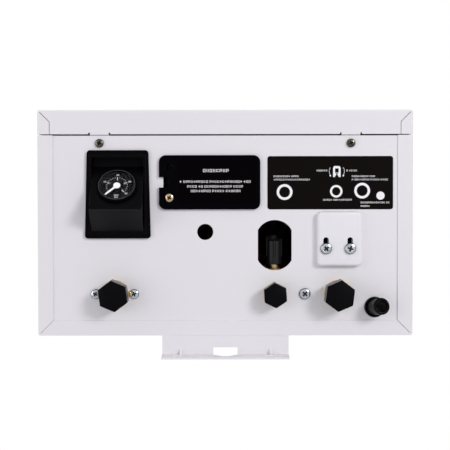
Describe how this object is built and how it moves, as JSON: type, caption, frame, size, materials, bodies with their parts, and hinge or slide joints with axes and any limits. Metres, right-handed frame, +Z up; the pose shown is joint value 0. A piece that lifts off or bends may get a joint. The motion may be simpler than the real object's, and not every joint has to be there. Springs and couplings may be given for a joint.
{
  "type": "electric heating boiler",
  "caption": "Wall-hung electric heating boiler in a white sheet-steel casing, with pressure gauge, fill tap, capped water connections and drain under its base.",
  "frame": {"origin": "midway between the two slots of the lower wall bracket, on the wall plane", "axes": "+X to the boiler's right seen from the front, +Y into the wall, +Z up"},
  "size_m": [0.4, 0.2662, 0.727],
  "materials": {
    "white_paint": "smooth semi-gloss powder coat",
    "white_plastic": "smooth satin moulding",
    "zinc_sheet": "bright zinc plate",
    "nickel_screw": "nickel plated",
    "zinc_screw": "blue zinc plated",
    "brass_screw": "yellow passivated",
    "gloss_black": "glossy moulding",
    "black_film": "printed film",
    "display_glass": "dark window",
    "board_green": "solder mask",
    "black_plastic": "fine moulded grain",
    "cap_black": "smooth satin moulding",
    "needle_white": "painted",
    "clear_glass": "clear",
    "copper": "drawn copper",
    "brass": "turned brass",
    "black_rubber": "matt rubber",
    "red_plastic": "moulded",
    "tank_steel": "stainless",
    "grey_foam": "closed-cell foam",
    "cast_grey": "painted casting",
    "vessel_red": "satin enamel",
    "block_plastic": "moulded"
  },
  "bodies": {
    "boiler": {"body_shell": "white_paint", "top_panel": "white_paint", "bottom_plate": "white_paint", "cover_screws": "nickel_screw", "cover_nuts": "zinc_sheet", "lower_wall_bracket": "white_paint", "upper_wall_hanger": "zinc_sheet", "gauge_housing": "black_plastic", "gauge_case": "black_plastic", "gauge_dial": "black_film", "gauge_glass": "clear_glass", "gauge_capillary": "copper", "connection_label": "black_film", "cable_cover_screws": "zinc_screw", "manifold_plate": "zinc_sheet", "fitting_screws": "zinc_screw", "supply_stub": "brass", "return_stub": "brass", "fill_valve_body": "brass", "drain_grommet": "black_rubber", "drain_tube": "black_plastic", "safety_valve": "brass", "heater_tank": "tank_steel", "tank_insulation": "grey_foam", "tank_bracket": "zinc_sheet", "element_flange": "tank_steel", "heating_elements": "tank_steel", "overheat_cutout": "black_plastic", "air_vent": "brass", "supply_pipe": "copper", "pump_outlet_pipe": "copper", "pump_volute": "cast_grey", "pump_motor": "black_plastic", "union_nuts": "brass", "expansion_vessel": "vessel_red", "vessel_bracket": "zinc_sheet", "vessel_hose": "black_rubber", "electronics_tray": "zinc_sheet", "power_board": "board_green", "terminal_block": "block_plastic"},
    "cover": {"front_cover": "white_paint", "control_fascia": "gloss_black", "display_module": "display_glass", "control_board": "board_green"},
    "power_key": {"power_button": "white_plastic"},
    "minus_key": {"minus_button": "white_plastic"},
    "plus_key": {"plus_button": "white_plastic"},
    "menu_key": {"menu_button": "white_plastic"},
    "fill_tap": {"fill_valve_handle": "black_plastic", "fill_valve_spindle": "brass"},
    "cable_slide": {"cable_cover": "white_plastic"},
    "supply_plug": {"supply_cap": "cap_black"},
    "return_plug": {"return_cap": "cap_black"},
    "fill_plug": {"fill_cap": "cap_black"},
    "needle": {"gauge_needle": "needle_white"},
    "terminal_lid": {"terminal_cover": "gloss_black", "terminal_cover_screw": "brass_screw", "terminal_cover_film": "black_film"},
    "relief_knob": {"safety_valve_knob": "red_plastic"},
    "reset_key": {"reset_button": "red_plastic"}
  },
  "joints": [
    {"name": "cover_swing", "type": "hinge", "parent": "boiler", "child": "cover", "pos_m": [0, -0.236, 0.71], "axis": [-1, 0, 0], "range_deg": [0, 35]},
    {"name": "power_press", "type": "slide", "parent": "cover", "child": "power_key", "axis": [0, 1, 0], "range_m": [0, 0.0012], "stiffness_N_per_m": 400},
    {"name": "minus_press", "type": "slide", "parent": "cover", "child": "minus_key", "axis": [0, 1, 0], "range_m": [0, 0.0012], "stiffness_N_per_m": 400},
    {"name": "plus_press", "type": "slide", "parent": "cover", "child": "plus_key", "axis": [0, 1, 0], "range_m": [0, 0.0012], "stiffness_N_per_m": 400},
    {"name": "menu_press", "type": "slide", "parent": "cover", "child": "menu_key", "axis": [0, 1, 0], "range_m": [0, 0.0012], "stiffness_N_per_m": 400},
    {"name": "fill_tap_turn", "type": "hinge", "parent": "boiler", "child": "fill_tap", "pos_m": [0.0528, -0.0665, 0.0284], "axis": [0, -1, 0], "range_deg": [0, 90]},
    {"name": "cable_cover_slide", "type": "slide", "parent": "boiler", "child": "cable_slide", "axis": [0, 1, 0], "range_m": [0, 0.009]},
    {"name": "supply_cap_pull", "type": "slide", "parent": "boiler", "child": "supply_plug", "axis": [0, 0, -1], "range_m": [0, 0.025]},
    {"name": "return_cap_pull", "type": "slide", "parent": "boiler", "child": "return_plug", "axis": [0, 0, -1], "range_m": [0, 0.025]},
    {"name": "fill_cap_pull", "type": "slide", "parent": "boiler", "child": "fill_plug", "axis": [0, 0, -1], "range_m": [0, 0.025]},
    {"name": "needle_turn", "type": "hinge", "parent": "boiler", "child": "needle", "pos_m": [-0.1145, -0.182, 0.00177], "axis": [0, 0.6157, 0.788], "range_deg": [0, 270], "stiffness_Nm_per_rad": 0.0004},
    {"name": "terminal_cover_swing", "type": "hinge", "parent": "boiler", "child": "terminal_lid", "pos_m": [0.03735, -0.1857, 0.0112], "axis": [0, -1, 0], "range_deg": [0, 45]},
    {"name": "relief_knob_turn", "type": "hinge", "parent": "boiler", "child": "relief_knob", "pos_m": [0.1596, -0.0522, 0.0744], "axis": [0, -1, 0], "range_deg": [0, 90]},
    {"name": "reset_press", "type": "slide", "parent": "boiler", "child": "reset_key", "axis": [0, 0, -1], "range_m": [0, 0.0015], "stiffness_N_per_m": 300}
  ]
}
